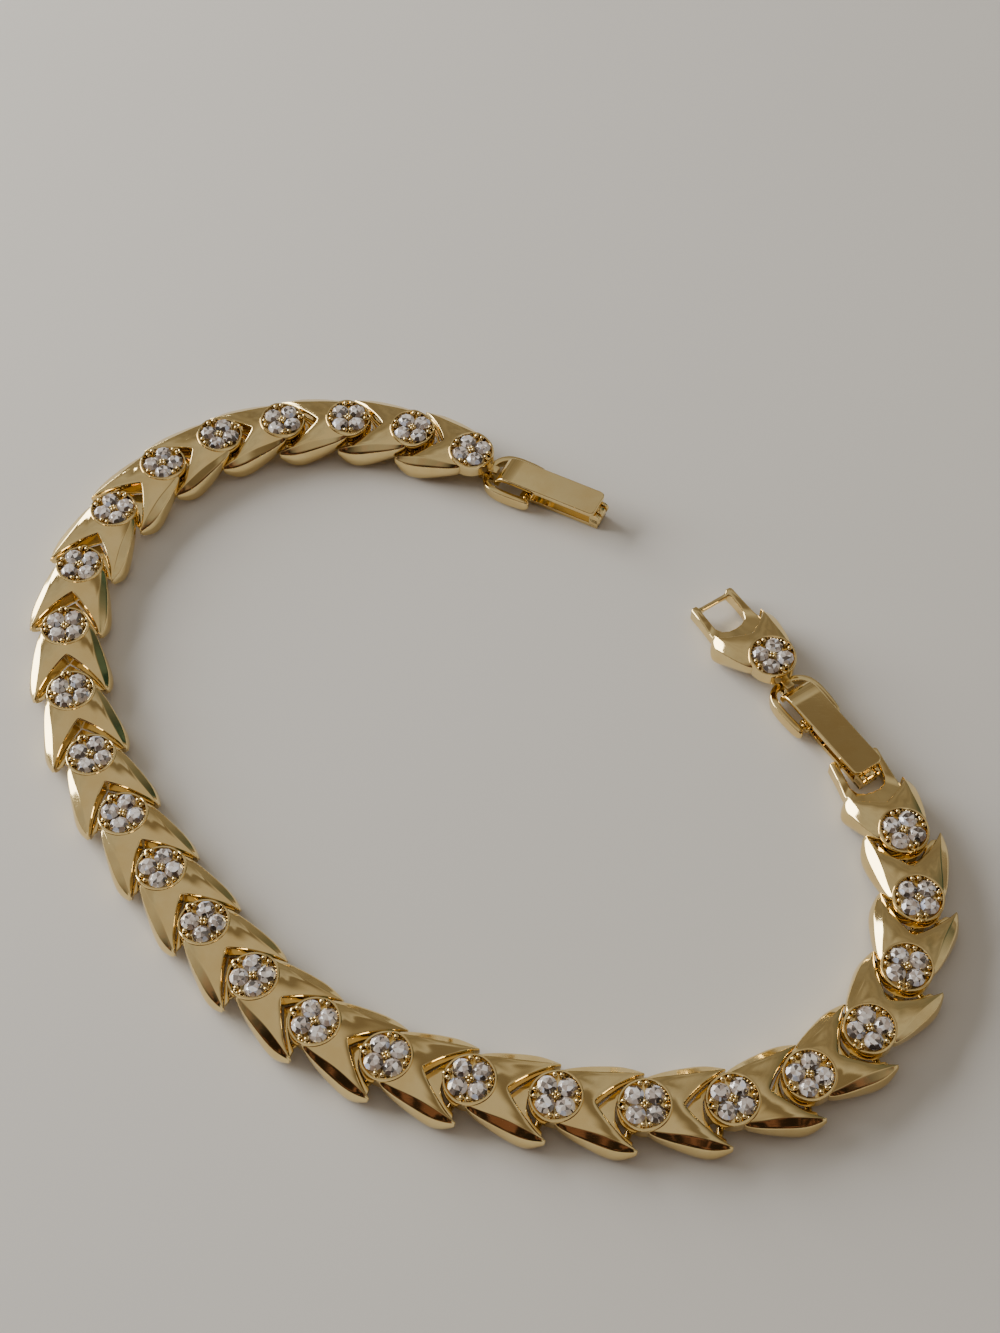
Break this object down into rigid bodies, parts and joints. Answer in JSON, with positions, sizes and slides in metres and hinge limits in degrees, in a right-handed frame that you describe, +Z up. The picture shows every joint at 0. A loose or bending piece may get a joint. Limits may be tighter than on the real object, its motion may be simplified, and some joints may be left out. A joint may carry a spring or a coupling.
{
  "type": "chevron link bracelet",
  "caption": "Polished gold-tone bracelet of arrow-shaped scale links with stone-set round heads, a fold-over clasp at one end and a clasped-on extender link at the other, lying open.",
  "frame": {"origin": "middle of the footprint of the bracelet as it lies, on the table", "axes": "+Z up from the table, +X across the loop, +Y from the near side of the loop to the side that carries the free clasp"},
  "size_m": [0.0762, 0.0728, 0.0033],
  "materials": {
    "gold": "polished",
    "stone": "cut and polished"
  },
  "bodies": {
    "bracelet": {"link_01": "gold", "link_02": "gold", "link_03": "gold", "link_04": "gold", "link_05": "gold", "link_06": "gold", "link_07": "gold", "link_08": "gold", "link_09": "gold", "link_10": "gold", "link_11": "gold", "link_12": "gold", "link_13": "gold", "link_14": "gold", "link_15": "gold", "link_16": "gold", "link_17": "gold", "link_18": "gold", "link_19": "gold", "link_20": "gold", "link_21": "gold", "link_22": "gold", "link_23": "gold", "link_24": "gold", "link_25": "gold", "link_26": "gold", "link_extender": "gold", "clasp_1_shackle": "gold", "clasp_2_shackle": "gold", "clasp_2_base": "gold"},
    "clasp_1_base": {"clasp_1_base": "gold"},
    "clasp_1_lever": {"clasp_1_lever": "gold"},
    "clasp_2_lever": {"clasp_2_lever": "gold"}
  },
  "joints": [
    {"name": "clasp_1_base_swing", "type": "hinge", "parent": "bracelet", "child": "clasp_1_base", "pos_m": [0.00531, 0.0262, 0.0009], "axis": [-0.4618, -0.887, 0], "range_deg": [0, 75]},
    {"name": "clasp_1_lever_swing", "type": "hinge", "parent": "clasp_1_base", "child": "clasp_1_lever", "pos_m": [0.01126, 0.02311, 0.00125], "axis": [0.4618, 0.887, 0], "range_deg": [0, 120]},
    {"name": "clasp_2_lever_swing", "type": "hinge", "parent": "bracelet", "child": "clasp_2_lever", "pos_m": [0.03225, -0.00417, 0.00125], "axis": [0.8339, 0.5519, 0], "range_deg": [0, 75]}
  ]
}
